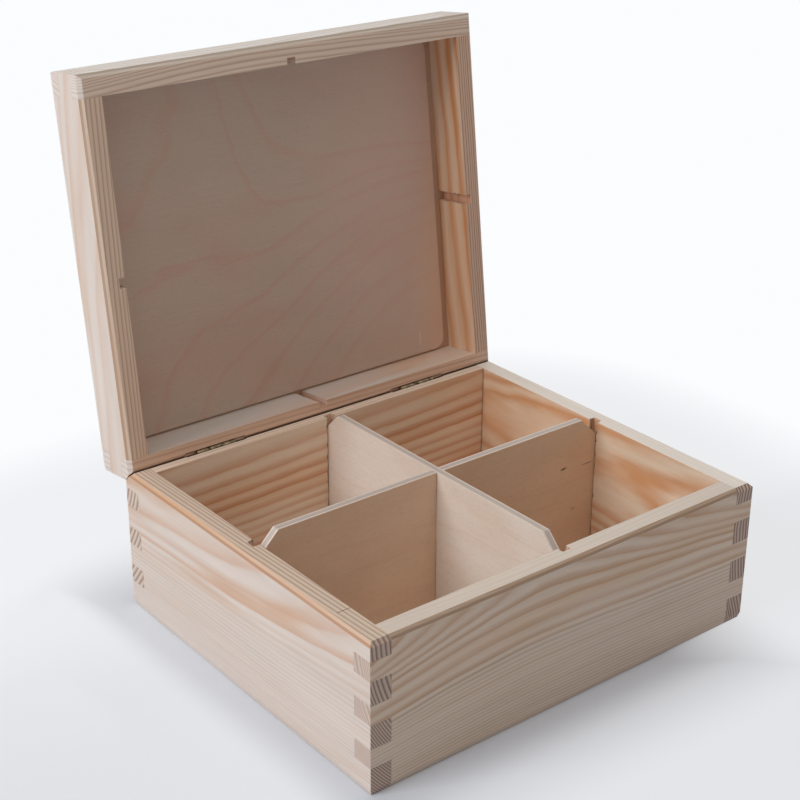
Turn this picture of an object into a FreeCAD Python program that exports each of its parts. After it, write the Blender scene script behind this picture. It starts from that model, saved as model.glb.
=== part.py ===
import FreeCAD, Part
import os
import re
import Sketcher

# A pine tea box with finger-jointed corners, drawn with its lid turned open on two small hinges.
# Two plywood dividers stand crossed in the base and lift out. Every length is in millimetres, the
# angles are in degrees. The origin is at the middle of the underside; X runs to the right along the
# front wall, Y to the back and Z up.

SIZES = {
    "box_width": 210.0,       # outside, left to right
    "box_depth": 178.0,       # outside, front to back
    "base_height": 68.0,      # underside to rim
    "lid_height": 25.5,       # rim to top, lid closed
    "wall": 10.0,             # thickness of every board
    "rim_chamfer": 1.8,       # 45 degree chamfer on the outer edges of both rims
    "edge_drop": 2.7,         # steep chamfer on the lowest and highest outer edges: its height
    "edge_inset": 0.8,        # and how far it reaches in
    "back_bevel": 4.6,        # 45 degree bevel on the back edges, where the lid turns
    "bottom_finger": 12.7,    # lowest finger of the side walls
    "front_finger": 8.7,      # fingers of the front and back walls
    "side_finger": 10.7,      # fingers of the left and right walls
    "rim_finger": 6.9,        # the lid's finger next to its rim
    "rebate": 5.0,            # how far the panels reach into the walls
    "panel_play": 0.3,        # room around each panel in its rebate
    "floor_panel": 4.0,       # thickness of the base's panel
    "roof_panel": 4.4,        # thickness of the lid's panel at its border
    "field_rise": 1.5,        # the panel's field stands this far below its border, lid closed
    "field_side": 4.0,        # width of the border that shows between the field and the side walls
    "field_end": 1.1,         # and between the field and the front and back walls
    "field_corner": 6.0,      # rounding of the field's corners
    "ply": 3.8,               # thickness of the dividers
    "slot_play": 0.3,         # room on each side of a divider in its wall slots
    "slot_deep": 3.0,         # depth of the slots in the walls
    "end_play": 0.4,          # room at each end of a divider
    "lap_play": 0.25,         # room on each side where one divider passes through the other
    "divider_rise": 3.5,      # how far the dividers stand above the rim
    "corner_cut": 12.0,       # 45 degree cut at the dividers' top corners
    "back_corner_cut": 10.0,  # and at the cross divider's back corner
    "pin_inset": 4.05,        # hinge axis, in from the back face
    "stop_slack": 0.28,       # the lid's open angle stays this far from the touching bevels
    "hinge_spacing": 117.0,   # between the middles of the two hinges
    "hinge_shift": 2.0,       # both hinges sit this far to the left
    "hinge_length": 20.0,     # length of a hinge's barrel
    "knuckle_radius": 1.0,    # outside of the rolled knuckles
    "knuckle_gap": 0.2,       # between neighbouring knuckles, and around them to the other leaf
    "pin_radius": 0.45,
    "pin_play": 0.05,         # running fit of the knuckles on the pin
    "pin_overhang": 0.3,      # the pin ends stand out of the barrel
    "leaf": 0.5,              # thickness of the hinge leaves
    "leaf_reach": 8.0,        # from the hinge axis to the end of a leaf
    "kerf_play": 0.05,        # room around a leaf in its saw kerf
    "hinge_room": 0.3,        # between the barrel and the wood around it
    "hollow_run": 6.0,        # the hollow for the barrel runs on past both ends of it
}

doc = FreeCAD.newDocument("compartment_box")
sheet = doc.addObject("Spreadsheet::Sheet", "Sizes")
for row, (alias, value) in enumerate(SIZES.items(), start=1):
    sheet.set(f"A{row}", alias)
    sheet.set(f"B{row}", str(value))
    sheet.setAlias(f"B{row}", alias)
doc.recompute()


def in_sheet(text):
    """The expression with every size's name pointed at the sheet."""
    return re.sub(r"[a-z]\w+", lambda word: "Sizes." + word[0] if word[0] in SIZES else word[0], text)


def bind(thing, **expressions):
    """Tie properties of an object to expressions of the sizes; a double underscore stands for a dot."""
    for name, text in expressions.items():
        thing.setExpression(name.replace("__", "."), in_sheet(text))


def value_of(text):
    """The present value of an expression of the sizes."""
    return float(sheet.evalExpression(in_sheet(text)))


# Levels and lines that several pieces share.
RIM = "base_height"
TOP = "(base_height + lid_height)"
AXIS_Y = "(box_depth / 2 - pin_inset)"
INNER_X = "(box_width / 2 - wall)"
INNER_Y = "(box_depth / 2 - wall)"
PITCH = "(front_finger + side_finger)"
SLOT = "(ply + 2 * slot_play)"
OPEN_ANGLE = "2 * atan(back_bevel / pin_inset) - stop_slack * 1 deg"


def block(name, x, y, z):
    """A square-cornered block; x, y and z each give its low and its high face."""
    box = doc.addObject("Part::Box", name)
    bind(box, Length=f"({x[1]}) - ({x[0]})", Placement__Base__x=x[0])
    bind(box, Width=f"({y[1]}) - ({y[0]})", Placement__Base__y=y[0])
    bind(box, Height=f"({z[1]}) - ({z[0]})", Placement__Base__z=z[0])
    return box


def rod(name, low, high, radius):
    """A round bar along the hinge axis, from x = low to x = high."""
    bar = doc.addObject("Part::Cylinder", name)
    bar.Placement.Rotation = FreeCAD.Rotation(FreeCAD.Vector(0, 1, 0), 90)
    bind(bar, Radius=radius, Height=f"({high}) - ({low})")
    bind(bar, Placement__Base__x=low, Placement__Base__y=AXIS_Y, Placement__Base__z=RIM)
    return bar


def joined(kind, name, shapes):
    """A Part::MultiFuse or Part::MultiCommon of several objects."""
    result = doc.addObject(kind, name)
    result.Shapes = shapes
    return result


def less(name, base, cutters):
    """The base object with all the cutters taken out of it."""
    cut = doc.addObject("Part::Cut", name)
    cut.Base = base
    cut.Tool = joined("Part::MultiFuse", f"{name}_cuts", cutters)
    return cut


def outline(body, name, plane, corners):
    """A closed sketch on one of the body's origin planes, each corner tied to its two expressions."""
    sketch = body.newObject("Sketcher::SketchObject", name)
    support = [feature for feature in body.Origin.OriginFeatures if feature.Role == plane]
    sketch.AttachmentSupport = [(support[0], "")]
    sketch.MapMode = "FlatFace"
    points = [FreeCAD.Vector(value_of(across), value_of(up), 0) for across, up in corners]
    count = len(corners)
    for i in range(count):
        sketch.addGeometry(Part.LineSegment(points[i], points[(i + 1) % count]), False)
    for i in range(count):
        sketch.addConstraint(Sketcher.Constraint("Coincident", i, 2, (i + 1) % count, 1))
    for i, (across, up) in enumerate(corners):
        for kind, value, text in (("DistanceX", points[i].x, across), ("DistanceY", points[i].y, up)):
            index = sketch.addConstraint(Sketcher.Constraint(kind, -1, 1, i, 1, value))
            sketch.setExpression(f"Constraints[{index}]", in_sheet(text))
    return sketch


def slab(name, plane, corners, thickness):
    """A body of one outline, padded to both sides of its plane."""
    body = doc.addObject("PartDesign::Body", name)
    pad = body.newObject("PartDesign::Pad", f"{name}_pad")
    pad.Profile = outline(body, f"{name}_outline", plane, corners)
    pad.SideType = "Symmetric"
    bind(pad, Length=thickness)
    return body


nodes = []


def keep(thing, label, open_lid=False):
    """Name a finished piece; a piece of the lid is turned open about the hinge axis."""
    thing.Label = label
    if open_lid:
        turn = f"create(<<rotation>>; create(<<vector>>; -1; 0; 0); {OPEN_ANGLE})"
        centre = f"create(<<vector>>; 0; {AXIS_Y}; {RIM})"
        bind(thing, Placement=f"create(<<placement>>; create(<<vector>>; 0; 0; 0); {turn}; {centre})")
    nodes.append(thing)


# The outer form of base and lid, as seen from the side and from the front. Each wall is a plain board,
# cut for its joints and then trimmed to both views, so that the chamfers run around the corners.
HALF_X = "box_width / 2"
HALF_Y = "box_depth / 2"


def view(half, edge, rim, towards, front, back):
    """Corners of a form from its outer edge to its rim; towards is the sign of the way to the rim."""
    away = "-" if towards == "+" else "+"
    return [
        (f"-{half} + edge_inset", edge),
        (f"{half} - edge_inset", edge),
        (half, f"{edge} {towards} edge_drop"),
        (half, f"{rim} {away} {back}"),
        (f"{half} - {back}", rim),
        (f"-{half} + {front}", rim),
        (f"-{half}", f"{rim} {away} {front}"),
        (f"-{half}", f"{edge} {towards} edge_drop"),
    ]


def views(part, edge, towards):
    """The side view with the bevelled back edge, and the front view with two equal chamfers."""
    side = view(HALF_Y, edge, RIM, towards, "rim_chamfer", "back_bevel")
    front = view(HALF_X, edge, RIM, towards, "rim_chamfer", "rim_chamfer")
    return [
        slab(f"{part}_side_view", "YZ_Plane", side, "box_width"),
        slab(f"{part}_front_view", "XZ_Plane", front, "box_depth"),
    ]


base_views = views("base", "0", "+")
lid_views = views("lid", TOP, "-")

# Finger joints. At a front level the front and back walls run through the corner, at a side level the
# left and right walls do, and the other pair is cut away there.
across_x = (f"-{HALF_X}", HALF_X)
across_y = (f"-{HALF_Y}", HALF_Y)
left_end = (f"-{HALF_X}", f"-{INNER_X}")
right_end = (INNER_X, HALF_X)
front_end = (f"-{HALF_Y}", f"-{INNER_Y}")
back_end = (INNER_Y, HALF_Y)

front_count = 1 + int(value_of(f"floor((base_height - bottom_finger - front_finger - 2 * rim_chamfer) / {PITCH})"))
base_steps = ["0"]
for i in range(front_count):
    base_steps.append(f"bottom_finger + {i} * {PITCH}")
    base_steps.append(f"bottom_finger + {i} * {PITCH} + front_finger")
base_steps.append(RIM)
base_levels = list(zip(base_steps, base_steps[1:]))
lid_steps = [RIM, f"{RIM} + rim_finger", f"{RIM} + rim_finger + side_finger", TOP]
lid_levels = list(zip(lid_steps, lid_steps[1:]))


def end_cuts(part, levels, sides):
    """Blocks that take a pair of walls away from both of its corners, two blocks for each level."""
    cuts = []
    for i, level in enumerate(levels):
        if sides:
            cuts.append(block(f"{part}_front_cut_{i}", across_x, front_end, level))
            cuts.append(block(f"{part}_back_cut_{i}", across_x, back_end, level))
        else:
            cuts.append(block(f"{part}_left_cut_{i}", left_end, across_y, level))
            cuts.append(block(f"{part}_right_cut_{i}", right_end, across_y, level))
    return cuts


base_side_cuts = end_cuts("base", base_levels[1::2], sides=True)
base_front_cuts = end_cuts("base", base_levels[0::2], sides=False)
lid_side_cuts = end_cuts("lid", lid_levels[0::2], sides=True)
lid_front_cuts = end_cuts("lid", lid_levels[1::2], sides=False)

# Slots for the dividers, in the middle of each inner face and over the height of base and lid.
whole_height = ("0", TOP)
slot_band = (f"-{SLOT} / 2", f"{SLOT} / 2")
side_slots = block("side_slots", (f"-{INNER_X} - slot_deep", f"{INNER_X} + slot_deep"), slot_band, whole_height)
front_slots = block("front_slots", slot_band, (f"-{INNER_Y} - slot_deep", f"{INNER_Y} + slot_deep"), whole_height)

# Rebates for the two panels, cut from below in the base and from above in the lid.
rebate_x = (f"-{INNER_X} - rebate", f"{INNER_X} + rebate")
rebate_y = (f"-{INNER_Y} - rebate", f"{INNER_Y} + rebate")
floor_rebate = block("floor_rebate", rebate_x, rebate_y, ("0", "floor_panel"))
roof_rebate = block("roof_rebate", rebate_x, rebate_y, (f"{TOP} - roof_panel", TOP))

# Seats of the hinges in the two back walls: a round hollow for the barrel and a saw kerf for each leaf.
hinge_middles = {
    "left": "(-hinge_spacing / 2 - hinge_shift)",
    "right": "(hinge_spacing / 2 - hinge_shift)",
}
kerf_y = (f"{AXIS_Y} - leaf / 2 - kerf_play", f"{AXIS_Y} + leaf / 2 + kerf_play")
base_hinge_cuts = []
lid_hinge_cuts = []
for side, middle in hinge_middles.items():
    hollow_end = "hinge_length / 2 + hollow_run"
    hollow = rod(f"{side}_hinge_hollow", f"{middle} - ({hollow_end})", f"{middle} + {hollow_end}",
                 "knuckle_radius + hinge_room")
    kerf_x = (f"{middle} - hinge_length / 2 - kerf_play", f"{middle} + hinge_length / 2 + kerf_play")
    base_kerf = block(f"{side}_base_kerf", kerf_x, kerf_y, (f"{RIM} - leaf_reach - kerf_play", RIM))
    lid_kerf = block(f"{side}_lid_kerf", kerf_x, kerf_y, (RIM, f"{RIM} + leaf_reach + kerf_play"))
    base_hinge_cuts += [hollow, base_kerf]
    lid_hinge_cuts += [hollow, lid_kerf]

# The walls of base and lid.
boards = {
    "front": (across_x, front_end),
    "back": (across_x, back_end),
    "left": (left_end, across_y),
    "right": (right_end, across_y),
}


def wall(part, side, height, cutters, trims, open_lid=False):
    """One wall: its board, cut for the joints, slots, rebate and hinges, trimmed to the outer form."""
    name = f"{part}_{side}_wall"
    board = block(f"{name}_board", *boards[side], height)
    cut = less(f"{name}_jointed", board, cutters)
    keep(joined("Part::MultiCommon", name, [cut] + trims), name, open_lid)


base_span = ("0", RIM)
wall("base", "front", base_span, base_front_cuts + [front_slots, floor_rebate], base_views)
wall("base", "back", base_span, base_front_cuts + [front_slots, floor_rebate] + base_hinge_cuts, base_views)
wall("base", "left", base_span, base_side_cuts + [side_slots, floor_rebate], base_views)
wall("base", "right", base_span, base_side_cuts + [side_slots, floor_rebate], base_views)

lid_span = (RIM, TOP)
wall("lid", "front", lid_span, lid_front_cuts + [front_slots, roof_rebate], lid_views, open_lid=True)
wall("lid", "back", lid_span, lid_front_cuts + [front_slots, roof_rebate] + lid_hinge_cuts, lid_views, open_lid=True)
wall("lid", "left", lid_span, lid_side_cuts + [side_slots, roof_rebate], lid_views, open_lid=True)
wall("lid", "right", lid_span, lid_side_cuts + [side_slots, roof_rebate], lid_views, open_lid=True)

# The base's plywood panel lies in its rebate, flush with the underside.
panel_x = (f"-{INNER_X} - rebate + panel_play", f"{INNER_X} + rebate - panel_play")
panel_y = (f"-{INNER_Y} - rebate + panel_play", f"{INNER_Y} + rebate - panel_play")
keep(block("base_bottom_panel", panel_x, panel_y, ("0", "floor_panel")), "base_bottom_panel")

# The lid's panel: a border that lies in the rebate, and a field with rounded corners on its inner face.
field_x = (f"-{INNER_X} + field_side", f"{INNER_X} - field_side")
field_y = (f"-{INNER_Y} + field_end", f"{INNER_Y} - field_end")
roof_under = f"{TOP} - roof_panel"
border = block("lid_panel_border", panel_x, panel_y, (roof_under, TOP))
field_parts = []
narrow_x = (f"{field_x[0]} + field_corner", f"{field_x[1]} - field_corner")
narrow_y = (f"{field_y[0]} + field_corner", f"{field_y[1]} - field_corner")
field_z = (f"{roof_under} - field_rise", roof_under)
field_parts.append(block("lid_field_wide", field_x, narrow_y, field_z))
field_parts.append(block("lid_field_deep", narrow_x, field_y, field_z))
for i, corner_x in enumerate(narrow_x):
    for j, corner_y in enumerate(narrow_y):
        post = doc.addObject("Part::Cylinder", f"lid_field_corner_{i}{j}")
        bind(post, Radius="field_corner", Height="field_rise")
        bind(post, Placement__Base__x=corner_x, Placement__Base__y=corner_y, Placement__Base__z=field_z[0])
        field_parts.append(post)
keep(joined("Part::MultiFuse", "lid_top_panel", [border] + field_parts), "lid_top_panel", open_lid=True)

# The dividers. Both are cut off at their top corners; the long one is notched from above, the cross one
# from below, and they meet halfway.
divider_top = "(base_height + divider_rise)"
halfway = f"((floor_panel + {divider_top}) / 2)"
notch = "(ply / 2 + lap_play)"


def divider(name, plane, inner, from_above, right_cut="corner_cut"):
    """A divider that stands on the base's panel and reaches into the slots of two walls."""
    end = f"({inner} + slot_deep - end_play)"
    low = [(f"-{end}", "floor_panel"), (end, "floor_panel")]
    right = [(end, f"{divider_top} - {right_cut}"), (f"{end} - {right_cut}", divider_top)]
    left = [(f"-{end} + corner_cut", divider_top), (f"-{end}", f"{divider_top} - corner_cut")]
    if from_above:
        right += [(notch, divider_top), (notch, halfway), (f"-{notch}", halfway), (f"-{notch}", divider_top)]
    else:
        low[1:1] = [(f"-{notch}", "floor_panel"), (f"-{notch}", halfway), (notch, halfway), (notch, "floor_panel")]
    keep(slab(name, plane, low + right + left, "ply"), name)


divider("long_divider", "XZ_Plane", INNER_X, from_above=True)
divider("cross_divider", "YZ_Plane", INNER_Y, from_above=False, right_cut="back_corner_cut")

# The hinges. The base leaf carries the two outer knuckles and the lid leaf the middle one; each leaf is
# pressed into its kerf and is hollowed where the other leaf's knuckles turn.
for side, middle in hinge_middles.items():
    ends = (f"{middle} - hinge_length / 2", f"{middle} + hinge_length / 2")
    middle_half = "(hinge_length / 6 - knuckle_gap / 2)"
    inner_ends = (f"{middle} - {middle_half}", f"{middle} + {middle_half}")
    outer_ends = (f"{inner_ends[0]} - knuckle_gap", f"{inner_ends[1]} + knuckle_gap")
    free_radius = "knuckle_radius + knuckle_gap"
    leaf_y = (f"{AXIS_Y} - leaf / 2", f"{AXIS_Y} + leaf / 2")
    bore = rod(f"{side}_hinge_bore", *ends, "pin_radius + pin_play")
    outer_knuckles = [rod(f"{side}_first_knuckle", ends[0], outer_ends[0], "knuckle_radius"),
                      rod(f"{side}_last_knuckle", outer_ends[1], ends[1], "knuckle_radius")]
    middle_knuckle = rod(f"{side}_middle_knuckle", *inner_ends, "knuckle_radius")
    outer_room = [rod(f"{side}_first_room", ends[0], inner_ends[0], free_radius),
                  rod(f"{side}_last_room", inner_ends[1], ends[1], free_radius)]
    middle_room = rod(f"{side}_middle_room", *outer_ends, free_radius)
    base_plate = block(f"{side}_base_plate", ends, leaf_y, (f"{RIM} - leaf_reach", RIM))
    lid_plate = block(f"{side}_lid_plate", ends, leaf_y, (RIM, f"{RIM} + leaf_reach"))
    base_blank = joined("Part::MultiFuse", f"{side}_base_blank", [base_plate] + outer_knuckles)
    keep(less(f"{side}_hinge_base_leaf", base_blank, [middle_room, bore]), f"{side}_hinge_base_leaf")
    lid_blank = joined("Part::MultiFuse", f"{side}_lid_blank", [lid_plate, middle_knuckle])
    keep(less(f"{side}_hinge_lid_leaf", lid_blank, outer_room + [bore]), f"{side}_hinge_lid_leaf", open_lid=True)
    pin = rod(f"{side}_hinge_pin", f"{ends[0]} - pin_overhang", f"{ends[1]} + pin_overhang", "pin_radius")
    keep(pin, f"{side}_hinge_pin")

doc.recompute()
for thing in doc.Objects:
    if "Invalid" in thing.State or "Error" in thing.State:
        raise RuntimeError(f"{thing.Label} did not recompute: {thing.State}")
for node in nodes:
    if node.Shape.isNull() or not node.Shape.isValid():
        raise RuntimeError(f"{node.Label} has no valid shape")
    if len(node.Shape.Solids) != 1:
        raise RuntimeError(f"{node.Label} holds {len(node.Shape.Solids)} solids")

os.makedirs("parts", exist_ok=True)
for node in nodes:
    node.Shape.exportStep(f"parts/{node.Label}.step")
    box = node.Shape.BoundBox
    print(f"{node.Label:24s} {node.Shape.Volume:10.1f} mm3  x {box.XMin:.2f} {box.XMax:.2f}"
          f"  y {box.YMin:.2f} {box.YMax:.2f}  z {box.ZMin:.2f} {box.ZMax:.2f}")
print("open angle", value_of(OPEN_ANGLE))
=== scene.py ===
import math
import bmesh
import bpy
import numpy as np
from mathutils import Matrix, Vector


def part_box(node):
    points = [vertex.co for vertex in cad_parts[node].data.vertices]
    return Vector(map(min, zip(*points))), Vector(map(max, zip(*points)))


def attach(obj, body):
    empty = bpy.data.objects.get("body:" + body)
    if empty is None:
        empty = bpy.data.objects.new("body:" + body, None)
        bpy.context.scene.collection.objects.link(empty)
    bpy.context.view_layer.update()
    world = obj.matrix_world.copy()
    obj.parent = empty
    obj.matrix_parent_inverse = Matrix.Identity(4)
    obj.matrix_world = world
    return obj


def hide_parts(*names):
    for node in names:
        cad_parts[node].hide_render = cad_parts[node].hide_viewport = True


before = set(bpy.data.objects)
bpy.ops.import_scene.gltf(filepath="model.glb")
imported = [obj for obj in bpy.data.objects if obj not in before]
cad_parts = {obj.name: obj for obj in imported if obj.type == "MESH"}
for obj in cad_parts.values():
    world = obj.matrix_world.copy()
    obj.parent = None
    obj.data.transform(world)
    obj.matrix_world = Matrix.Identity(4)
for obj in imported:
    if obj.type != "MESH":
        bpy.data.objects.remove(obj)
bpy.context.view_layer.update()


# Front wall of the base: a planed pine board whose ends are cut to fingers and glued between those of
# the side walls. The slot for the cross divider is sawn into its inner face, and the saw left it ragged.


def seen(red, green, blue):
    """A colour as the eye sees it, 0 to 255 a channel, as the linear light that Blender works in."""
    share = np.array([red, green, blue]) / 255
    light = np.where(share <= 0.04045, share / 12.92, ((share + 0.055) / 1.055) ** 2.4)
    return (*light.tolist(), 1.0)


# Sizes on the boards are in millimetres, and those for the mesh and its relief, which end in M, in metres.
UNTURNED = Matrix.Identity(4)
RIM_LEVEL = 68.0
SLOT_HALF = 2.2
SLOT_DEEP = 3.0
SPLINTER_STEP = 1.1
SPLINTER_WIDTH = 1.0
NEAR = 0.02
EASED_EDGE_M = 0.00012
GAP_ROUNDING_M = 0.0005
RELIEF_M = 0.0002
# The slot tint: the sawn wood's tone inside a slot, darker and warmer as painted shade.
SLOT_WOOD_AND_SHADE = seen(218, 168, 140)


def calc(tree, operation, *values, clamp=False):
    """One step of arithmetic in a material; each value is a number or the result of another step."""
    node = tree.nodes.new("ShaderNodeMath")
    node.operation = operation
    node.use_clamp = clamp
    for socket, value in zip(node.inputs, values):
        if isinstance(value, (int, float)):
            socket.default_value = value
        else:
            tree.links.new(value, socket)
    return node.outputs[0]


def speckle(tree, place, sizes, seed, detail=2.0):
    """Noise from 0 to 1 at a place in millimetres, with blots about as large as the sizes."""
    where = tree.nodes.new("ShaderNodeCombineXYZ")
    for socket, value, size in zip(where.inputs, place, sizes):
        tree.links.new(calc(tree, "MULTIPLY_ADD", value, 1 / size, seed), socket)
    noise = tree.nodes.new("ShaderNodeTexNoise")
    noise.inputs["Scale"].default_value = 1.0
    noise.inputs["Detail"].default_value = detail
    tree.links.new(where.outputs[0], noise.inputs["Vector"])
    return noise.outputs["Fac"]


def sway(tree, noise, reach):
    """Noise from 0 to 1 as a move to either side, by up to half the reach."""
    return calc(tree, "MULTIPLY_ADD", noise, reach, -reach / 2)


def span(tree, value, low, high):
    """0 at low, 1 at high, with a smooth rise between them; low may be the larger of the two."""
    node = tree.nodes.new("ShaderNodeMapRange")
    node.interpolation_type = "SMOOTHSTEP"
    node.inputs["From Min"].default_value = low
    node.inputs["From Max"].default_value = high
    tree.links.new(value, node.inputs["Value"])
    return node.outputs["Result"]


def blend(tree, share, first, second, mode="MIX"):
    """Two colours mixed by a share; each is a colour or the result of another mix."""
    node = tree.nodes.new("ShaderNodeMix")
    node.data_type = "RGBA"
    node.blend_type = mode
    for name, value in (("Factor", share), ("A", first), ("B", second)):
        socket = [s for s in node.inputs if s.name == name and s.enabled][0]
        if isinstance(value, (int, float, tuple)):
            socket.default_value = value
        else:
            tree.links.new(value, socket)
    return [s for s in node.outputs if s.enabled][0]


def shaded(tree, colour, light):
    """A colour made darker or lighter by a number."""
    grey = tree.nodes.new("ShaderNodeCombineColor")
    for socket in grey.inputs:
        tree.links.new(light, socket)
    return blend(tree, 1.0, colour, grey.outputs[0], "MULTIPLY")


def board_axes(tree, along, turn):
    """A piece's place in millimetres and the direction of its face, both as (along, across, up), after the
    turn that brings the piece to where it lay when its board was sawn."""
    own = tree.nodes.new("ShaderNodeTexCoord")
    results = []
    for output, kind in (("Object", "POINT"), ("Normal", "VECTOR")):
        turned = tree.nodes.new("ShaderNodeMapping")
        turned.vector_type = kind
        turned.inputs["Rotation"].default_value = turn.to_euler()
        if kind == "POINT":
            turned.inputs["Location"].default_value = turn.translation
        tree.links.new(own.outputs[output], turned.inputs["Vector"])
        parts = tree.nodes.new("ShaderNodeSeparateXYZ")
        tree.links.new(turned.outputs["Vector"], parts.inputs[0])
        x, y, z = parts.outputs
        if kind == "POINT":
            x, y, z = (calc(tree, "MULTIPLY", value, 1000.0) for value in (x, y, z))
        results.append((x, y, z) if along == "X" else (y, x, z))
    return results


def new_material(name):
    """An empty material, the tree it is made in, and its surface shader."""
    material = bpy.data.materials.new(name)
    material.use_nodes = True
    tree = material.node_tree
    return material, tree, tree.nodes["Principled BSDF"]


def finish(tree, shader, colour, rough, height, relief_strength):
    """Lead the colour, the roughness and the relief of a surface into its shader."""
    tree.links.new(colour, shader.inputs["Base Color"])
    tree.links.new(rough, shader.inputs["Roughness"])
    relief = tree.nodes.new("ShaderNodeBump")
    relief.inputs["Strength"].default_value = relief_strength
    relief.inputs["Distance"].default_value = RELIEF_M
    tree.links.new(height, relief.inputs["Height"])
    tree.links.new(relief.outputs["Normal"], shader.inputs["Normal"])


# How long, wide and deep the slow and the quick waves in the rings are.
RING_SWELL = (60, 18, 18)
RING_QUIVER = (12, 3, 3)


def year_rings(tree, place, pith, ring, lean, bend, wide, wander, warp, growth, seed):
    """The count of year rings from the pith out to a place: the distance from the pith's line over the
    ring's width. The line leans along the board, wanders, and bends like a hyperbola around one point. The
    distance is also warped a little and grows unevenly, by a share of a ring, so that the rings differ in
    width, and between two distances the rings are wider, by so many millimetres in all."""
    l, a, b = place
    slope, at, rounding = bend
    off_l = calc(tree, "SUBTRACT", l, at)
    arm = calc(tree, "SQRT", calc(tree, "MULTIPLY_ADD", off_l, off_l, rounding ** 2))
    line_a = calc(tree, "MULTIPLY_ADD", off_l, lean, pith[0])
    line_a = calc(tree, "ADD", line_a, calc(tree, "MULTIPLY", calc(tree, "SUBTRACT", arm, rounding), slope))
    line_a = calc(tree, "ADD", line_a, sway(tree, speckle(tree, (l,), (75,), seed + 3.1), wander))
    line_b = calc(tree, "ADD", pith[1], sway(tree, speckle(tree, (l,), (90,), seed + 8.7), wander))
    off_a = calc(tree, "SUBTRACT", a, line_a)
    off_b = calc(tree, "SUBTRACT", b, line_b)
    square = calc(tree, "ADD", calc(tree, "MULTIPLY", off_a, off_a), calc(tree, "MULTIPLY", off_b, off_b))
    radius = calc(tree, "SQRT", square)
    swell = sway(tree, speckle(tree, place, RING_SWELL, seed), warp)
    quiver = sway(tree, speckle(tree, place, RING_QUIVER, seed + 5.0), 0.2 * ring)
    spurt = sway(tree, speckle(tree, (radius,), (2.6 * ring,), seed + 11.0), growth * ring)
    radius = calc(tree, "ADD", calc(tree, "ADD", radius, swell), calc(tree, "ADD", quiver, spurt))
    near, far, more = wide
    narrowed = calc(tree, "MULTIPLY_ADD", span(tree, radius, near, far), -more, radius)
    return radius, calc(tree, "MULTIPLY", narrowed, 1 / ring)


# How long, wide and deep the blots of each noise in pine are, and how dark a ring is at shares of its width.
PINE_FIBRE = (34, 0.5, 0.5)
PINE_CLOUD = (90, 9, 9)
PINE_PORE = (2.6, 0.3, 0.3)
PINE_PATCH = (70, 14, 14)
RING_DARKNESS = ((0.07, 0.0), (0.3, 0.08), (0.66, 0.6), (0.9, 1.0))
RING_EDGE = (0.1, 0.1, 0.1, 1)


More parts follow.
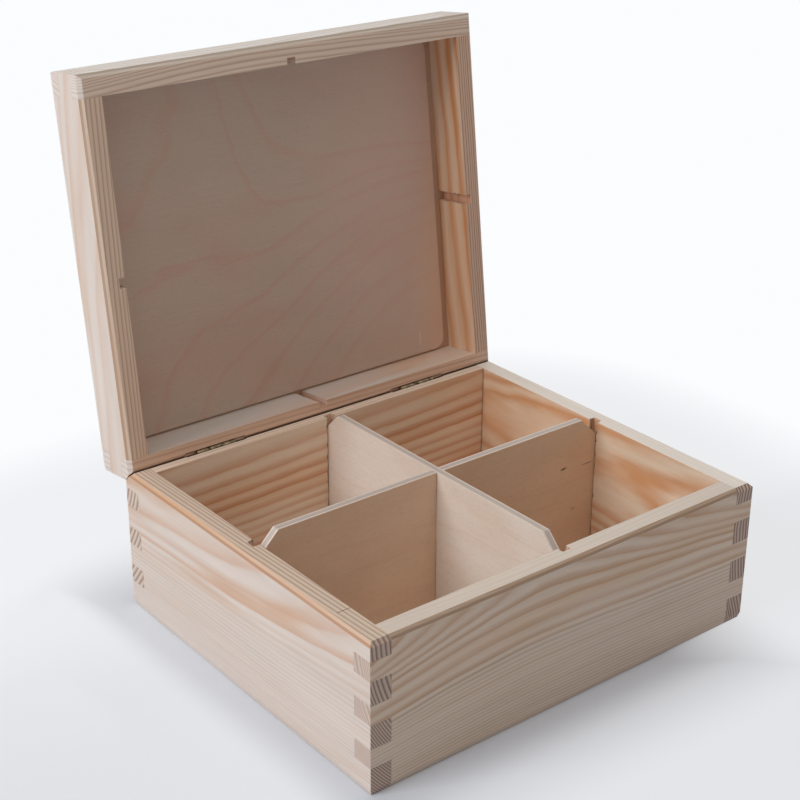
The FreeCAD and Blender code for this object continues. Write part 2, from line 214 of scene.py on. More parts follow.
def pine(name, along, inner, pith, ring, early, late, warm, dim, rim, ends, bevel, lean=0.0,
         bend=(0.0, 0.0, 1.0), wide=(500.0, 600.0, 0.0), wander=1.0, warp=0.8, growth=1.2, contrast=1.0,
         soft=0.0, fade=(500.0, 600.0, 1.0), glow_share=0.5, seed=0.0, turn=UNTURNED, kerf=0.0, scar=None,
         corner=None):
    """Planed pine with its year rings in the solid. Each ring darkens slowly from early to late wood and
    ends sharply, or softly by a share; from one distance from the pith to another, the contrast fades to a
    share and the late wood grows dim. Fine fibres run along the board. The rim, where the saw cut the lid
    off, and the board's ends have early and late colours of their own. Bevels take on one colour by a share,
    the wood's colour there mixed with painted shade, with a darker line at the foot of the rim's bevel, and
    the cut slot is redder, partly from the sawn wood and partly as painted warm shade inside it. A corner is
    how far along the board its inner face meets its neighbours in a dark seam. A scar is a thin line across
    the rim."""
    material, tree, shader = new_material(name)
    (l, a, b), (end_face, side_face, top_face) = board_axes(tree, along, turn)
    place = (l, a, calc(tree, "ADD", b, kerf))
    radius, rings = year_rings(tree, place, pith, ring, lean, bend, wide, wander, warp, growth, seed)
    near, far, rest = fade
    far_wood = span(tree, radius, near, far)
    kept = calc(tree, "MULTIPLY_ADD", far_wood, rest - 1.0, 1.0)
    top = span(tree, calc(tree, "ABSOLUTE", top_face), 0.8, 0.95)

    ramp_node = tree.nodes.new("ShaderNodeValToRGB")
    ramp = ramp_node.color_ramp
    ramp.interpolation = "EASE"
    ramp.elements[0].color = RING_EDGE
    ramp.elements[1].color = RING_EDGE
    for position, grey in RING_DARKNESS:
        ramp.elements.new(position).color = (grey, grey, grey, 1)
    tree.links.new(calc(tree, "FRACT", rings), ramp_node.inputs[0])
    wave = calc(tree, "SINE", calc(tree, "MULTIPLY_ADD", rings, 2 * math.pi, 1.0 - 1.5 * math.pi))
    wave = calc(tree, "MULTIPLY_ADD", wave, 0.5, 0.5)
    shade = calc(tree, "MULTIPLY_ADD", wave, soft, calc(tree, "MULTIPLY", ramp_node.outputs[0], 1.0 - soft))
    chance = tree.nodes.new("ShaderNodeTexWhiteNoise")
    chance.noise_dimensions = "1D"
    tree.links.new(calc(tree, "ADD", calc(tree, "FLOOR", rings), seed), chance.inputs["W"])
    patch = speckle(tree, place, PINE_PATCH, seed + 21.0)
    depth = calc(tree, "MULTIPLY_ADD", patch, 0.9, 0.05)
    depth = calc(tree, "MULTIPLY_ADD", chance.outputs["Value"], 0.6 * (1.0 - soft), depth)
    depth = calc(tree, "MULTIPLY", calc(tree, "MULTIPLY", depth, contrast), kept)
    dark = calc(tree, "MULTIPLY", shade, depth, clamp=True)

    glow = span(tree, speckle(tree, (l, radius), (110, 3.2 * ring), seed + 33.0), 0.42, 0.68)
    glow = calc(tree, "MULTIPLY", calc(tree, "MULTIPLY", glow, glow_share), calc(tree, "POWER", kept, 2.0))
    colour = blend(tree, dark, blend(tree, glow, early, warm), blend(tree, far_wood, late, dim))
    colour = blend(tree, top, colour, blend(tree, calc(tree, "MULTIPLY", shade, shade), *rim))
    end = span(tree, calc(tree, "ABSOLUTE", end_face), 0.45, 0.65)
    deep = calc(tree, "ABSOLUTE", calc(tree, "SUBTRACT", a, inner))
    in_slot = span(tree, calc(tree, "ABSOLUTE", l), SLOT_HALF + 0.3, SLOT_HALF - 0.1)
    slot = calc(tree, "MULTIPLY", in_slot, span(tree, deep, SLOT_DEEP + 0.5, SLOT_DEEP + 0.1))
    end = calc(tree, "SUBTRACT", end, slot, clamp=True)
    colour = blend(tree, end, colour, blend(tree, calc(tree, "MULTIPLY", shade, 0.9), *ends))
    # The cut slot's redder tint is partly the sawn wood and partly painted warm shade inside the slot.
    colour = blend(tree, calc(tree, "MULTIPLY", slot, 0.5), colour, SLOT_WOOD_AND_SHADE)
    # The bevel tone mixes the wood's colour on the chamfer with painted shade.
    slant = span(tree, calc(tree, "ABSOLUTE", calc(tree, "MULTIPLY", side_face, top_face)), 0.25, 0.45)
    tone, share, foot_tone = bevel
    colour = blend(tree, calc(tree, "MULTIPLY", slant, share), colour, tone)
    from_rim = calc(tree, "ABSOLUTE", calc(tree, "SUBTRACT", b, RIM_LEVEL))
    foot = calc(tree, "MULTIPLY", span(tree, from_rim, 0.8, 1.1), span(tree, from_rim, 2.2, 1.8))
    colour = blend(tree, calc(tree, "MULTIPLY", calc(tree, "MULTIPLY", slant, foot), 0.6), colour, foot_tone)
    fibre = speckle(tree, place, PINE_FIBRE, seed + 2.0, detail=3.0)
    cloud = speckle(tree, place, PINE_CLOUD, seed + 14.0)
    pore = span(tree, speckle(tree, place, PINE_PORE, seed + 6.0), 0.66, 0.78)
    light = calc(tree, "ADD", 1.0, calc(tree, "ADD", sway(tree, fibre, 0.26), sway(tree, cloud, 0.14)))
    light = calc(tree, "SUBTRACT", light, calc(tree, "MULTIPLY", pore, 0.09))
    if corner:
        inwards = calc(tree, "MULTIPLY", side_face, -math.copysign(1.0, inner))
        seam = span(tree, calc(tree, "ABSOLUTE", l), corner - 0.9, corner - 0.1)
        seam = calc(tree, "MULTIPLY", seam, span(tree, inwards, 0.6, 0.9))
        light = calc(tree, "SUBTRACT", light, calc(tree, "MULTIPLY", seam, 0.38))
    colour = shaded(tree, colour, light)
    if scar:
        off = calc(tree, "ABSOLUTE", calc(tree, "SUBTRACT", l, scar["at"]))
        line = span(tree, off, 0.34, 0.12)
        first, last = scar["across"]
        line = calc(tree, "MULTIPLY", line, span(tree, a, first - 0.4, first + 0.4))
        line = calc(tree, "MULTIPLY", line, span(tree, a, last + 0.4, last - 0.4))
        line = calc(tree, "MULTIPLY", line, top)
        colour = blend(tree, calc(tree, "MULTIPLY", line, 0.75), colour, scar["colour"])
    height = calc(tree, "MULTIPLY_ADD", fibre, 0.8, calc(tree, "MULTIPLY", dark, 0.5))
    rough = calc(tree, "MULTIPLY_ADD", fibre, 0.2, 0.34)
    finish(tree, shader, colour, rough, height, 0.3)
    shader.inputs["Specular IOR Level"].default_value = 0.5
    return material


def sawn_place(mesh, turn):
    """All points of a mesh in metres, turned to where the board lay when it was sawn."""
    points = np.empty(len(mesh.vertices) * 3)
    mesh.vertices.foreach_get("co", points)
    return points.reshape(-1, 3) @ np.array(turn.to_3x3()).T + np.array(turn.translation)


def splinter(mesh, along, turn, inner, seed):
    """Break the edges of a slot's mouth. A point on them moves away from the slot by the widest splinter
    times the cube of an even random share: most points by little, and a few by nearly all of it."""
    points = sawn_place(mesh, turn)
    l, a = (0, 1) if along == "X" else (1, 0)
    side = points[:, l] * 1000
    on_edge = np.abs(np.abs(side) - SLOT_HALF) < NEAR
    on_face = np.abs(points[:, a] * 1000 - inner) < NEAR
    width = SPLINTER_WIDTH * np.random.default_rng(seed).random(len(points)) ** 3
    points[:, l] += np.where(on_edge & on_face, np.sign(side) * width / 1000, 0.0)
    back = turn.inverted()
    points = points @ np.array(back.to_3x3()).T + np.array(back.translation)
    mesh.vertices.foreach_set("co", points.ravel())
    mesh.update()


def merged_copy(name, node):
    """A copy of a CAD solid's mesh with its triangles merged into plain faces."""
    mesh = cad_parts[node].data.copy()
    mesh.name = name
    solid = bmesh.new()
    solid.from_mesh(mesh)
    bmesh.ops.remove_doubles(solid, verts=solid.verts, dist=1e-6)
    bmesh.ops.dissolve_limit(solid, angle_limit=math.radians(1), verts=solid.verts, edges=solid.edges)
    return mesh, solid


def place_piece(mesh, solid, node, body, material):
    """Put a finished mesh into the scene in place of its CAD solid, with finely eased edges."""
    solid.to_mesh(mesh)
    solid.free()
    mesh.materials.clear()
    mesh.materials.append(material)
    piece = bpy.data.objects.new(mesh.name, mesh)
    bpy.context.scene.collection.objects.link(piece)
    ease = piece.modifiers.new("eased_edges", "BEVEL")
    ease.width = EASED_EDGE_M
    ease.segments = 2
    ease.limit_method = "ANGLE"
    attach(piece, body)
    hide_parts(node)


def board(name, node, body, material, log, seed, turn=UNTURNED, gap=None):
    """A wall made from its CAD solid; its log says which way it runs and where its inner face stands. The
    edges of its slot's mouth in that face are cut into short runs and splintered. The edge next to a gap,
    given as its place across and up, is rounded off."""
    mesh, solid = merged_copy(name, node)
    along, inner = log["along"], log["inner"]
    l, a = (0, 1) if along == "X" else (1, 0)
    mouth = []
    beside_gap = []
    for edge in solid.edges:
        ends = np.array([turn @ corner.co for corner in edge.verts]) * 1000
        on_edge = np.all(np.abs(np.abs(ends[:, l]) - SLOT_HALF) < NEAR)
        on_face = np.all(np.abs(ends[:, a] - inner) < NEAR)
        if on_edge and on_face and ends[0, l] * ends[1, l] > 0:
            mouth.append(edge)
        if gap and np.all(np.abs(ends[:, [a, 2]] - gap) < NEAR):
            beside_gap.append(edge)
    if beside_gap:
        bmesh.ops.bevel(solid, geom=beside_gap, offset=GAP_ROUNDING_M, segments=3, profile=0.5,
                        affect="EDGES")
    for edge in mouth:
        cuts = int(edge.calc_length() * 1000 / SPLINTER_STEP)
        bmesh.ops.subdivide_edges(solid, edges=[edge], cuts=cuts)
    place_piece(mesh, solid, node, body, material)
    splinter(mesh, along, turn, inner, seed)


INNER_X = 95.0
INNER_Y = 79.0
FRONT_LOG = dict(along="X", inner=-INNER_Y, pith=(-149.62, 72.0), ring=1.15, lean=-0.0256, seed=1.0,
                 bend=(0.066, -35.0, 30.0), wide=(61.5, 71.0, 4.0), warp=1.0, growth=0.3,
                 fade=(67.0, 72.0, 0.6), contrast=1.0, early=seen(226, 207, 189), late=seen(188, 138, 92),
                 warm=seen(216, 182, 144), dim=seen(172, 138, 110), soft=0.4,
                 bevel=(seen(172, 142, 116), 0.6, seen(122, 94, 72)),
                 rim=(seen(234, 222, 209), seen(227, 211, 196)),
                 ends=(seen(214, 194, 180), seen(180, 154, 140)))
front_pine = pine("front_pine", corner=INNER_X, **FRONT_LOG)
board("front_wall", "base_front_wall", "base", front_pine, FRONT_LOG, 11)


# Left wall of the base: pine sawn nearer to the pith, with wide orange bands at the rim. Its fingers show
# as dark end grain on the front, and the saw that cut the lid off stepped once across its rim.

LEFT_LOG = dict(along="Y", inner=-INNER_X, pith=(-30.0, 70.0), ring=1.05, lean=-0.027, seed=2.0,
                bend=(0.008, 0.0, 20.0), wide=(62.0, 83.5, 7.68), wander=0.4, warp=0.5, growth=0.2,
                fade=(79.0, 83.0, 0.5), contrast=0.78, glow_share=1.0, soft=0.3,
                bevel=(seen(216, 174, 138), 0.6, seen(164, 112, 74)),
                early=seen(227, 214, 204), late=seen(208, 158, 120), warm=seen(212, 174, 144),
                dim=seen(194, 172, 156), rim=(seen(233, 213, 195), seen(182, 149, 126)),
                ends=(seen(206, 183, 166), seen(104, 70, 58)))
LEFT_SCAR = dict(at=-63.8, across=(-101.5, -94.5), colour=seen(104, 76, 58))
left_pine = pine("left_pine", corner=INNER_Y, scar=LEFT_SCAR, **LEFT_LOG)
board("left_wall", "base_left_wall", "base", left_pine, LEFT_LOG, 12)


# Right wall of the base: a flat-sawn pine board with a large orange flame on its inner face. It is slotted
# for the long divider and joined to the front and back walls as the left wall is.

# The rim's near-white colours are the paler sawn rim with painted sheen, as it is seen at a grazing angle
# against the white backdrop.
RIGHT_LOG = dict(along="Y", inner=INNER_X, pith=(235.38, 46.0), ring=1.35, lean=0.016, wander=1.6, warp=1.9,
                 seed=3.0, wide=(129.0, 140.3, 2.7), contrast=1.25, soft=0.9, glow_share=0.25,
                 early=seen(241, 219, 195), late=seen(217, 152, 99), warm=seen(234, 182, 134),
                 dim=seen(206, 172, 142), rim=(seen(252, 245, 236), seen(244, 230, 216)),
                 bevel=(seen(220, 186, 154), 0.4, seen(180, 134, 100)),
                 ends=(seen(206, 183, 166), seen(104, 70, 58)))
right_pine = pine("right_pine", corner=INNER_Y, **RIGHT_LOG)
board("right_wall", "base_right_wall", "base", right_pine, RIGHT_LOG, 13)


# Back wall of the base: pine with strong, nearly straight brown bands. Its rim is bevelled, and the hinge
# leaves are pressed into saw cuts in it.

# The bevel's dark browns are painted shade in the narrow gap between the back walls of base and lid.
BACK_LOG = dict(along="X", inner=INNER_Y, pith=(174.0, 89.0), ring=2.68, lean=0.0145, wander=1.0, warp=0.8,
                growth=0.4, seed=4.0, contrast=1.0, soft=0.35,
                bevel=(seen(120, 84, 62), 0.7, seen(104, 72, 54)),
                early=seen(250, 231, 210), late=seen(216, 152, 104), warm=seen(240, 200, 162),
                dim=seen(196, 160, 130), rim=(seen(241, 223, 205), seen(222, 194, 168)),
                ends=(seen(222, 206, 192), seen(150, 106, 82)))
GAP_LINE = (84.4, RIM_LEVEL)
back_pine = pine("back_pine", corner=INNER_X, **BACK_LOG)
board("back_wall", "base_back_wall", "base", back_pine, BACK_LOG, 14, gap=GAP_LINE)


# Bottom of the base: a plain birch plywood panel. It is glued into a rebate of the four walls, flush with
# their underside.

# The milled border's colour: the browner inner ply, darkened further as painted shade in the sunken border.
BARE_PLY_IN_SHADE = seen(188, 152, 126)
OUTER_PLY = seen(238, 226, 214)
INNER_PLY = seen(206, 193, 184)
BIRCH_FIBRE = (22, 0.7, 0.7)
BIRCH_CLOUD = (70, 22, 22)
BIRCH_PORE = (1.7, 0.28, 0.28)
BIRCH_FLECK = (4.0, 0.6, 0.6)
VENEER_RING = 16


def oval(tree, first, second, centre, sizes, angle=0.0):
    """How far a place is from the middle of an oval, where 1 is its rim; the sizes are its half axes."""
    d1 = calc(tree, "SUBTRACT", first, centre[0])
    d2 = calc(tree, "SUBTRACT", second, centre[1])
    cos, sin = math.cos(angle), math.sin(angle)
    e1 = calc(tree, "MULTIPLY_ADD", d1, cos / sizes[0], calc(tree, "MULTIPLY", d2, sin / sizes[0]))
    e2 = calc(tree, "MULTIPLY_ADD", d2, cos / sizes[1], calc(tree, "MULTIPLY", d1, -sin / sizes[1]))
    return calc(tree, "SQRT", calc(tree, "MULTIPLY_ADD", e1, e1, calc(tree, "MULTIPLY", e2, e2)))


def birch(name, along, thick, middle, half, early, late, figure, line_depth, seed, turn=UNTURNED, marks_and_light=(),
          border=None):
    """Birch plywood. A peeled veneer has fine fibres and pores along the grain and soft pink lines wherever
    the figure, a count of year rings over the face, comes to a whole number. The edges show two thin pale
    plies and between them a greyer one cut across the grain. Marks are ovals of another colour on the face
    before the middle, and some of them are patches of painted light; each gives its two axes, centre, half
    axes, angle, colour and strength. A border that is milled away from one level to another shows the
    browner wood of the inner ply there, darkened further as painted shade in the sunken border."""
    material, tree, shader = new_material(name)
    place, faces = board_axes(tree, along, turn)
    rings, slope = figure(tree, place)
    off = calc(tree, "SUBTRACT", calc(tree, "FRACT", calc(tree, "ADD", rings, 0.5)), 0.5)
    off = calc(tree, "DIVIDE", off, slope)
    line = calc(tree, "MULTIPLY", span(tree, off, -3.4, -0.2), span(tree, off, 1.3, 0.1))
    patch = speckle(tree, place, (45, 25, 25), seed + 4.0)
    line = calc(tree, "MULTIPLY", line, calc(tree, "MULTIPLY_ADD", patch, line_depth, 0.1 * line_depth))
    colour = blend(tree, line, early, late)
    blush = span(tree, speckle(tree, place, (60, 30, 30), seed + 17.0), 0.45, 0.7)
    colour = blend(tree, calc(tree, "MULTIPLY", blush, 0.3), colour, late)
    fibre = speckle(tree, place, BIRCH_FIBRE, seed + 2.0, detail=3.0)
    cloud = speckle(tree, place, BIRCH_CLOUD, seed + 9.0)
    pore = span(tree, speckle(tree, place, BIRCH_PORE, seed + 6.0), 0.58, 0.74)
    fleck = span(tree, speckle(tree, place, BIRCH_FLECK, seed + 26.0), 0.5, 0.75)
    light = calc(tree, "ADD", 1.0, calc(tree, "ADD", sway(tree, fibre, 0.12), sway(tree, cloud, 0.12)))
    light = calc(tree, "SUBTRACT", light, calc(tree, "MULTIPLY", pore, 0.13))
    light = calc(tree, "SUBTRACT", light, calc(tree, "MULTIPLY", fleck, 0.07))
    colour = shaded(tree, colour, light)
    marked_face = span(tree, place[thick], middle + 0.3, middle - 0.3)
    for first, second, centre, sizes, angle, mark_and_light_colour, strength in marks_and_light:
        rim = oval(tree, place[first], place[second], centre, sizes, angle)
        share = calc(tree, "MULTIPLY", span(tree, rim, 1.0, 0.3), strength)
        share = calc(tree, "MULTIPLY", share, marked_face)
        colour = blend(tree, share, colour, mark_and_light_colour)
    layer = calc(tree, "DIVIDE", calc(tree, "ABSOLUTE", calc(tree, "SUBTRACT", place[thick], middle)), half)
    core = span(tree, layer, 0.66, 0.5)
    plies = blend(tree, core, OUTER_PLY, INNER_PLY)
    edge = span(tree, calc(tree, "ABSOLUTE", faces[thick]), 0.7, 0.4)
    colour = blend(tree, edge, colour, shaded(tree, plies, light))
    if border:
        from_first, to_last = border
        milled = calc(tree, "MULTIPLY", span(tree, place[thick], from_first, from_first + 0.6),
                      span(tree, place[thick], to_last + 0.6, to_last))
        # The sunken border takes the inner ply's colour, darkened as painted shade.
        colour = blend(tree, calc(tree, "MULTIPLY", milled, 0.8), colour, shaded(tree, BARE_PLY_IN_SHADE, light))
    height = calc(tree, "SUBTRACT", fibre, calc(tree, "MULTIPLY", pore, 0.5))
    rough = calc(tree, "MULTIPLY_ADD", fibre, 0.15, 0.42)
    finish(tree, shader, colour, rough, height, 0.22)
    shader.inputs["Specular IOR Level"].default_value = 0.4
    return material


def panel(name, node, body, material):
    """A plywood piece made from its CAD solid."""
    mesh, solid = merged_copy(name, node)
    place_piece(mesh, solid, node, body, material)


def straight_figure(tree, place):
    """Rings counted upwards at an even width, and swayed slowly along the grain; and the rings to a
    millimetre."""
    _, a, b = place
    slope = 1 / VENEER_RING
    rise = calc(tree, "ADD", calc(tree, "MULTIPLY", a, slope), calc(tree, "MULTIPLY", b, slope))
    return calc(tree, "ADD", rise, sway(tree, speckle(tree, place, (80, 30, 30), 7.0), 3.0)), slope


BIRCH = dict(early=seen(239, 227, 216), late=seen(226, 195, 172))
floor_low, floor_high = (corner[2] * 1000 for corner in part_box("base_bottom_panel"))
bottom_birch = birch("bottom_birch", "X", 2, (floor_low + floor_high) / 2, (floor_high - floor_low) / 2,
                     figure=straight_figure, line_depth=0.4, seed=5.0, **BIRCH)
panel("bottom_panel", "base_bottom_panel", "base", bottom_birch)


# Dividers: two birch plywood boards that cross in halved laps and stand in the slots of the walls. The long
# one carries a small knot, a crack and a fainter mark near its right end. Its warmer colours are painted
# warm light bounced around the compartments.

PLY_HALF = 1.9
KNOT = (0, 2, (75.0, 49.4), (2.6, 0.8), 0.12, seen(74, 50, 38), 0.85)
CRACK = (0, 2, (90.5, 47.9), (5.0, 0.4), 0.0, seen(96, 64, 48), 0.6)
FAINT_MARK = (0, 2, (82.3, 26.4), (2.0, 0.8), 0.0, seen(128, 84, 60), 0.4)
# The long divider's warmer early and late colours are painted warm bounce light.
long_birch_bounce_lit = birch("long_birch_bounce_lit", "X", 1, 0.0, PLY_HALF, figure=straight_figure, line_depth=0.25, seed=6.0,
                   marks_and_light=(KNOT, CRACK, FAINT_MARK), early=seen(236, 206, 180), late=seen(224, 180, 148))
panel("long_divider_board", "long_divider", "long_divider", long_birch_bounce_lit)
cross_birch = birch("cross_birch", "Y", 1, 0.0, PLY_HALF, figure=straight_figure, line_depth=0.25, seed=7.0,
                    **BIRCH)
panel("cross_divider_board", "cross_divider", "cross_divider", cross_birch)


# Lid walls: the glued box was sawn apart, so each lid wall carries on the rings of the base wall below it,
# less the saw's kerf. The slots that take the tops of the dividers were cut before that.

HINGE_Y_M = 0.08495
HINGE_Z_M = 0.068
OPEN_ANGLE = math.radians(96.996)
KERF = 4.0

hinge_line = Matrix.Translation((0, HINGE_Y_M, HINGE_Z_M))
LID_TURN = hinge_line @ Matrix.Rotation(OPEN_ANGLE, 4, "X") @ hinge_line.inverted()
LID_SCAR = dict(at=-79.8, across=(-90.0, -78.0), colour=seen(222, 206, 184))
LID_ENDS = (seen(232, 220, 210), seen(212, 194, 182))
# The lid front's early, late and warm colours and its bevel are paler and greyer than the base front's:
# painted sheen on its outer face, seen at a grazing angle.
LID_WALLS = (("front", FRONT_LOG, 21, dict(scar=LID_SCAR, early=seen(233, 228, 223),
                                           bevel=(seen(206, 188, 170), 0.6, seen(166, 144, 124)),
                                           late=seen(206, 184, 164), warm=seen(222, 208, 196),
                                           rim=(seen(236, 212, 192), seen(202, 168, 144)))),
             ("left", LEFT_LOG, 22, dict(contrast=0.55, glow_share=0.4,
                                         bevel=(seen(214, 184, 154), 0.5, seen(176, 136, 104)),
                                         rim=(seen(230, 202, 178), seen(190, 154, 130)))),
             ("right", RIGHT_LOG, 23, dict(contrast=1.4, wide=(141.0, 152.0, 3.4), soft=0.6,
                                           early=seen(236, 208, 182),
                                           rim=(seen(222, 188, 162), seen(172, 126, 106)))),
             ("back", BACK_LOG, 24, dict(contrast=0.6, glow_share=0.4, early=seen(224, 218, 212),
                                         rim=(seen(226, 192, 168), seen(206, 164, 138)))))
for side, log, seed, own in LID_WALLS:
    lid_pine = pine(f"lid_{side}_pine", turn=LID_TURN, kerf=KERF, **{**log, "ends": LID_ENDS, **own})
    board(f"lid_{side}_board", f"lid_{side}_wall", "lid", lid_pine, log, seed, LID_TURN, gap=GAP_LINE)


# Top of the lid: a birch plywood panel in a rebate of the lid walls, with a raised field on its inner face
# and a milled border around it. Its veneer shows the saddle-shaped figure of a peeled log.

RIDGE_LEFT = 7.0
RIDGE_RIGHT = -15.0
UPPER_LINE = -105.0
UPPER_AREA = 1720
LOWER_LINE = -36.0
LOWER_AREA = 600
FIELD_LEVEL = 87.6
BORDER_LEVEL = 89.1
LID_LEVEL = 93.5
SCRATCH = (0, 1, (75.8, 70.0), (0.5, 5.5), 0.0, seen(232, 214, 192), 0.7)
# A warmer, paler patch along the panel's right edge: painted light bounced from the lid's right wall.
WARM_BOUNCE_LIGHT = (0, 1, (108.0, 50.0), (42.0, 95.0), 0.0, seen(236, 200, 170), 0.5)
BLUSH = (0, 1, (85.0, -20.0), (95.0, 150.0), 0.0, seen(222, 182, 166), 0.4)


def saddle_figure(tree, place):
    """Rings counted from a ridge that runs across the panel and falls to the right: the distance from the
    ridge times the distance from an upright line, over the area that one ring takes up. The line, and that
    area, differ between the two sides of the ridge and of the line, and far out no more rings are counted.
    Also the rings to a millimetre there."""
    l, a, _ = place
    ridge = calc(tree, "MULTIPLY_ADD", span(tree, l, -30.0, 70.0), RIDGE_RIGHT - RIDGE_LEFT, RIDGE_LEFT)
    under = calc(tree, "MAXIMUM", calc(tree, "SUBTRACT", ridge, a), 0.0)
    over = calc(tree, "MAXIMUM", calc(tree, "SUBTRACT", a, ridge), 0.0)
    steep = calc(tree, "MULTIPLY", calc(tree, "SUBTRACT", l, UPPER_LINE), 1 / UPPER_AREA)
    up = calc(tree, "MULTIPLY", over, steep)
    up = calc(tree, "MINIMUM", up, calc(tree, "MINIMUM", calc(tree, "MULTIPLY_ADD", up, 0.7, 0.9), 5.4))
    lower = calc(tree, "MULTIPLY", calc(tree, "SUBTRACT", l, LOWER_LINE), 1 / LOWER_AREA)
    lower = calc(tree, "MULTIPLY", under, lower)
    slower = calc(tree, "MINIMUM", calc(tree, "MULTIPLY_ADD", lower, 0.6, 0.4), 2.4)
    right_of = calc(tree, "MAXIMUM", calc(tree, "MINIMUM", lower, slower), 0.0)
    left_of = calc(tree, "MAXIMUM", calc(tree, "MULTIPLY", calc(tree, "MINIMUM", lower, 0.0), 0.22), -0.9)
    down = calc(tree, "ADD", right_of, left_of)
    between = calc(tree, "MULTIPLY", span(tree, under, 1.0, 14.0), span(tree, down, 0.9, 0.3))
    rings = calc(tree, "MULTIPLY_ADD", between, 0.45, calc(tree, "SUBTRACT", down, up))
    rings = calc(tree, "ADD", rings, sway(tree, speckle(tree, place, (30, 22, 22), 12.0), 0.5))
    far = calc(tree, "MULTIPLY", calc(tree, "MAXIMUM", over, under), 1 / 1000)
    return rings, calc(tree, "MAXIMUM", steep, far)


roof_birch = birch("roof_birch", "X", 2, (BORDER_LEVEL + LID_LEVEL) / 2, (LID_LEVEL - BORDER_LEVEL) / 2,
                   figure=saddle_figure, line_depth=0.65, seed=8.0,
                   turn=LID_TURN, marks_and_light=(BLUSH, WARM_BOUNCE_LIGHT, SCRATCH),
                   border=(FIELD_LEVEL + 0.2, BORDER_LEVEL + 0.3),
                   early=seen(202, 179, 162), late=seen(204, 158, 140))
panel("lid_panel", "lid_top_panel", "lid", roof_birch)


# Hinges: two small butt hinges of thin plated brass. Their leaves sit in the saw cuts of both back walls,
# and a pin runs through their knuckles.

BRIGHT_BRASS = seen(140, 122, 96)
TARNISH = seen(62, 52, 40)
ROUND_ANGLE = math.radians(35)


def brass(name):
    """Thin brass plating: yellow metal with darker tarnish in blots and fine scratches."""
    material, tree, shader = new_material(name)
    place, _ = board_axes(tree, "X", UNTURNED)
    tarnish = span(tree, speckle(tree, place, (3, 3, 3), 1.0, detail=4.0), 0.4, 0.68)
    colour = blend(tree, tarnish, BRIGHT_BRASS, TARNISH)
    scratch = speckle(tree, place, (4, 0.2, 0.2), 2.0)
    rough = calc(tree, "MULTIPLY_ADD", tarnish, 0.25, calc(tree, "MULTIPLY_ADD", scratch, 0.15, 0.25))
    finish(tree, shader, colour, rough, scratch, 0.1)
    shader.inputs["Metallic"].default_value = 1.0
    return material


hinge_brass = brass("hinge_brass")
for side in ("left", "right"):
    for part, body in (("base_leaf", "base"), ("lid_leaf", "lid"), ("pin", "base")):
        mesh, solid = merged_copy(f"{side}_{part}", f"{side}_hinge_{part}")
        place_piece(mesh, solid, f"{side}_hinge_{part}", body, hinge_brass)
        mesh.polygons.foreach_set("use_smooth", np.ones(len(mesh.polygons), dtype=bool))
        mesh.set_sharp_from_angle(angle=ROUND_ANGLE)


# Floor: a wide sheet of pale, faintly blue paper under the box. It takes the box's shadow and turns white
# with distance from it, sooner behind it and to its right. The white is an emission that only camera and
# mirrored rays see; beside the box's right and left sides it is painted light that lifts the lamp's shadow
# and the shade there.

FLOOR_HALF_M = 4.0
FLOOR_DROP_M = 0.0002
FLOOR_TINT = seen(220, 226, 237)
FLOOR_GLOW = (0.97, 0.98, 1.0, 1.0)
BASE_HALF_X = 105.0
BASE_HALF_Y = 89.0


def flat_sheet(name, half, steps):
    """A level square grid around the origin: x and y run evenly, and z stays just below zero."""
    line = np.linspace(-half, half, steps)
    x, y = np.meshgrid(line, line)
    points = np.stack([x.ravel(), y.ravel(), np.full(x.size, -FLOOR_DROP_M)], axis=1)
    corner = (np.arange(steps - 1)[:, None] * steps + np.arange(steps - 1)[None]).ravel()
    quads = np.stack([corner, corner + 1, corner + 1 + steps, corner + steps], axis=1)
    mesh = bpy.data.meshes.new(name)
    mesh.from_pydata(points.tolist(), [], quads.tolist())
    sheet = bpy.data.objects.new(name, mesh)
    bpy.context.scene.collection.objects.link(sheet)
    return sheet


def shown_rays(tree):
    """1 for a ray from the camera or one that metal or glass sends on, and 0 for the light on the object."""
    path = tree.nodes.new("ShaderNodeLightPath")
    shown = calc(tree, "MAXIMUM", path.outputs["Is Camera Ray"], path.outputs["Is Glossy Ray"])
    return calc(tree, "MAXIMUM", shown, path.outputs["Is Transmission Ray"])


def mixed_shaders(tree, share, first, second, output):
    """Mix two shaders by a share and lead the result to an output's surface."""
    mix = tree.nodes.new("ShaderNodeMixShader")
    tree.links.new(share, mix.inputs[0])
    tree.links.new(first.outputs[0], mix.inputs[1])
    tree.links.new(second.outputs[0], mix.inputs[2])
    tree.links.new(mix.outputs[0], tree.nodes[output].inputs["Surface"])


def past(tree, value, edge):
    """How far a value is beyond an edge on either side of zero, and 0 within."""
    return calc(tree, "MAXIMUM", calc(tree, "SUBTRACT", calc(tree, "ABSOLUTE", value), edge), 0.0)


sheet = flat_sheet("floor_sheet", FLOOR_HALF_M, 9)
material, tree, shader = new_material("floor_paper")
place, _ = board_axes(tree, "X", UNTURNED)
grain = speckle(tree, place, (1.2, 1.2, 1.2), 0.0)
paper = shaded(tree, FLOOR_TINT, calc(tree, "ADD", 1.0, sway(tree, grain, 0.03)))
finish(tree, shader, paper, calc(tree, "MULTIPLY_ADD", grain, 0.1, 0.8), grain, 0.05)
shader.inputs["Specular IOR Level"].default_value = 0.1
glow = tree.nodes.new("ShaderNodeEmission")
glow.inputs["Color"].default_value = FLOOR_GLOW
past_side = past(tree, place[0], BASE_HALF_X)
past_front = past(tree, place[1], BASE_HALF_Y)
past_front = calc(tree, "MULTIPLY", past_front, past_front)
apart = calc(tree, "SQRT", calc(tree, "MULTIPLY_ADD", past_side, past_side, past_front))
behind = calc(tree, "MULTIPLY_ADD", place[0], 0.35, calc(tree, "MULTIPLY", place[1], 0.94))
backdrop_and_painted_light = calc(tree, "MULTIPLY", span(tree, apart, 0.0, 60.0), 0.45)
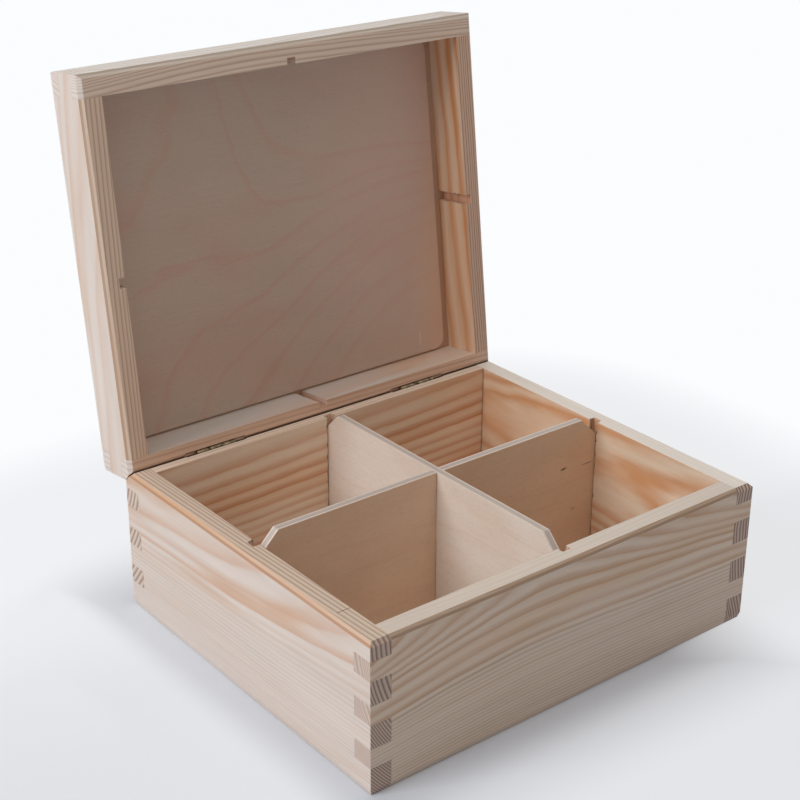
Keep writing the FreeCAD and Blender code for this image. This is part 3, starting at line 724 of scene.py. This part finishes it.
backdrop_and_painted_light = calc(tree, "MULTIPLY_ADD", span(tree, behind, -150.0, 100.0), 0.22, backdrop_and_painted_light)
backdrop_and_painted_light = calc(tree, "MULTIPLY_ADD", span(tree, behind, 0.0, 90.0), 0.12, backdrop_and_painted_light)
backdrop_and_painted_light = calc(tree, "MULTIPLY_ADD", span(tree, place[1], -95.0, -115.0), 0.16, backdrop_and_painted_light)
backdrop_and_painted_light = calc(tree, "MULTIPLY_ADD", span(tree, apart, 115.0, 230.0), 0.33, backdrop_and_painted_light, clamp=True)
# Beside the box's sides the white is painted light: on the right it lifts the lamp's shadow, on the left the
# shade by the wall.
left_share = calc(tree, "MULTIPLY_ADD", span(tree, place[1], 20.0, 110.0), 0.2, 0.5)
for low, high, share in ((40.0, 120.0, 0.71), (-105.0, -130.0, left_share)):
    painted_side_light = calc(tree, "MULTIPLY", span(tree, place[0], low, high), share)
    backdrop_and_painted_light = calc(tree, "MAXIMUM", backdrop_and_painted_light, painted_side_light)
backdrop_and_painted_light = calc(tree, "MULTIPLY", backdrop_and_painted_light, shown_rays(tree))
mixed_shaders(tree, backdrop_and_painted_light, shader, glow, "Material Output")
sheet.data.materials.append(material)


# Light: a large soft lamp from the left, a wider and weaker one from above, and an even, faintly warm sky.
# What the camera and mirrored rays see of the sky is white.

SKY_TINT = (1.0, 0.93, 0.86, 1.0)
SKY_STRENGTH = 0.3
WHITE = (1, 1, 1, 1)


def soft_lamp(name, place, target, size, power, colour):
    """A square lamp of a given size that looks at a target."""
    lamp = bpy.data.lights.new(name, "AREA")
    lamp.size = size
    lamp.energy = power
    lamp.color = colour
    stand = bpy.data.objects.new(name, lamp)
    bpy.context.scene.collection.objects.link(stand)
    stand.location = place
    stand.rotation_euler = (Vector(target) - Vector(place)).to_track_quat("-Z", "Y").to_euler()


soft_lamp("key_lamp", place=(-1.8, 0.25, 1.05), target=(0, 0.03, 0.08), size=0.9, power=20.5,
          colour=(0.97, 0.985, 1.0))
soft_lamp("top_lamp", place=(-0.2, -0.1, 1.6), target=(0, 0, 0), size=1.4, power=4.5,
          colour=(1.0, 0.98, 0.96))

world = bpy.data.worlds.new("studio")
bpy.context.scene.world = world
world.use_nodes = True
tree = world.node_tree
sky = tree.nodes["Background"]
sky.inputs["Color"].default_value = SKY_TINT
sky.inputs["Strength"].default_value = SKY_STRENGTH
backdrop = tree.nodes.new("ShaderNodeBackground")
backdrop.inputs["Color"].default_value = WHITE
mixed_shaders(tree, shown_rays(tree), sky, backdrop, "World Output")


# Camera: a long lens from the front left, which looks down on the box from above the edge of the open lid.

CAMERA_PLACE = (-0.415015, -0.497659, 0.398038)
CAMERA_TURN = (65.65541, -0.22678, -38.25671)
LENS = 74.5486
SENSOR = 36.0

camera = bpy.data.objects.new("camera", bpy.data.cameras.new("camera"))
bpy.context.scene.collection.objects.link(camera)
camera.location = CAMERA_PLACE
camera.rotation_euler = [math.radians(angle) for angle in CAMERA_TURN]
camera.data.lens = LENS
camera.data.sensor_width = SENSOR
bpy.context.scene.camera = camera
bpy.context.scene.view_settings.view_transform = "Standard"
